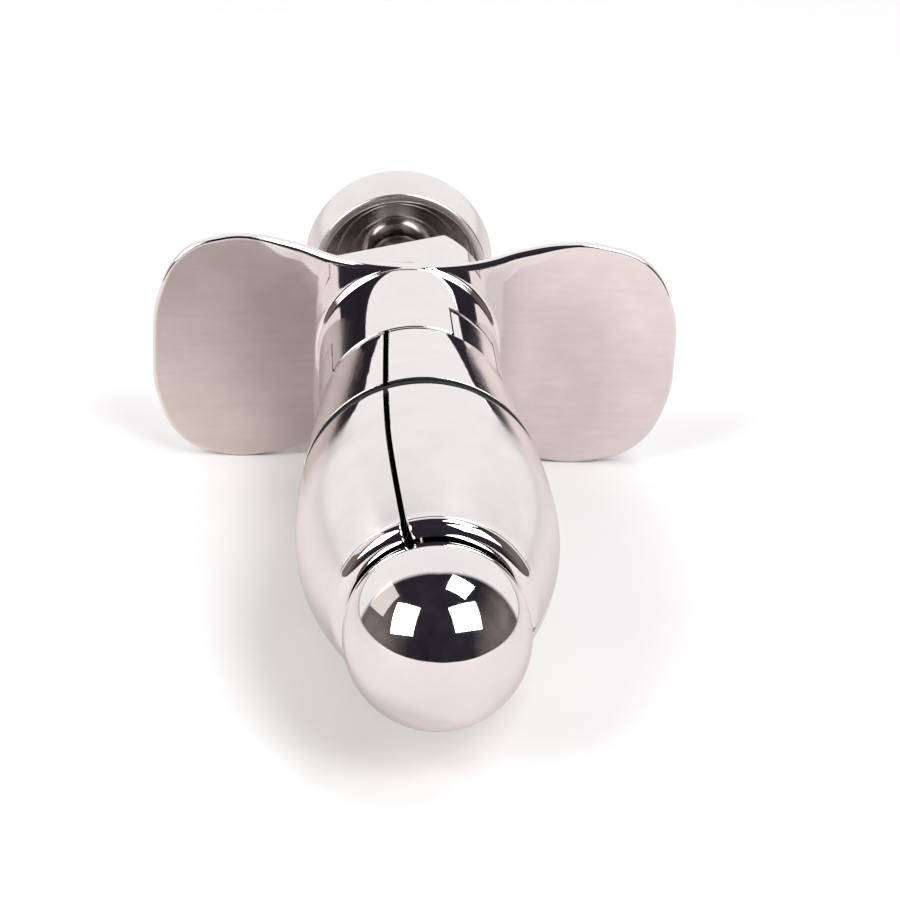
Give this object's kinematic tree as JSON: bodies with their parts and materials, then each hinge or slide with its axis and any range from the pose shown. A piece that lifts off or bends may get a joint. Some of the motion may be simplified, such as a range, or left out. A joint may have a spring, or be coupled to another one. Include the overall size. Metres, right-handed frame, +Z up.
{
  "type": "expanding petal plug",
  "caption": "Polished steel petal plug with a ball nose, winged base and cup knob; turning the knob draws the ball back and spreads the petals.",
  "frame": {"origin": "centre of the footprint, on the surface that the wings' lower edges stand on", "axes": "+Y runs along the long axis from the nose ball to the knob, +X along the wings and +Z up"},
  "size_m": [0.0944, 0.1764, 0.0424],
  "materials": {
    "polished_steel": "mirror polished stainless steel",
    "satin_steel": "finely brushed satin stainless steel",
    "turned_steel": "turned stainless steel",
    "bronze": "machined bronze",
    "rubber": "black nitrile rubber"
  },
  "bodies": {
    "housing": {"barrel": "polished_steel", "wing_plate": "satin_steel", "weld_bead_front": "polished_steel", "weld_bead_rear": "polished_steel", "guide_bush": "bronze", "bush_circlip": "turned_steel", "hinge_pin_upper_right": "turned_steel", "hinge_pin_left": "turned_steel", "hinge_pin_lower_right": "turned_steel", "rotation_key": "turned_steel", "key_screw_front": "turned_steel", "key_screw_rear": "turned_steel", "thrust_washer": "bronze", "rear_gland": "turned_steel", "closing_ring": "rubber"},
    "knob": {"threaded_spindle": "turned_steel", "knob_cup": "polished_steel", "knob_boss": "polished_steel", "boss_set_screw": "turned_steel", "knob_cap_screw": "turned_steel"},
    "drive": {"nose_ball": "polished_steel", "drive_rod": "polished_steel", "drive_nut": "bronze", "nut_set_screw": "turned_steel"},
    "petal_upper_right": {"petal_upper_right": "polished_steel"},
    "petal_left": {"petal_left": "polished_steel"},
    "petal_lower_right": {"petal_lower_right": "polished_steel"}
  },
  "joints": [
    {"name": "knob_turn", "type": "hinge", "parent": "housing", "child": "knob", "pos_m": [-0.0014, 0.05425, 0.0212], "axis": [0, -1, 0], "range_deg": [0, 5760]},
    {"name": "rod_slide", "type": "slide", "parent": "housing", "child": "drive", "axis": [0, 1, 0], "range_m": [0, 0.024]},
    {"name": "petal_upper_right_hinge", "type": "hinge", "parent": "housing", "child": "petal_upper_right", "pos_m": [0.00686, 0.01025, 0.03098], "axis": [-0.7638, 0, 0.6455], "range_deg": [0, 9.6]},
    {"name": "petal_left_hinge", "type": "hinge", "parent": "housing", "child": "petal_left", "pos_m": [-0.014, 0.01025, 0.02347], "axis": [-0.1771, 0, -0.9842], "range_deg": [0, 9.6], "deforming": ["closing_ring"]},
    {"name": "petal_lower_right_hinge", "type": "hinge", "parent": "housing", "child": "petal_lower_right", "pos_m": [0.00294, 0.01025, 0.00916], "axis": [0.9409, 0, 0.3387], "range_deg": [0, 9.6]}
  ],
  "couplings": [
    {"joint": "rod_slide", "follows": "knob_turn", "m_per_rad": 0.00023873},
    {"joint": "petal_upper_right_hinge", "follows": "knob_turn", "ratio": 0.0016667},
    {"joint": "petal_left_hinge", "follows": "knob_turn", "ratio": 0.0016667},
    {"joint": "petal_lower_right_hinge", "follows": "knob_turn", "ratio": 0.0016667}
  ]
}
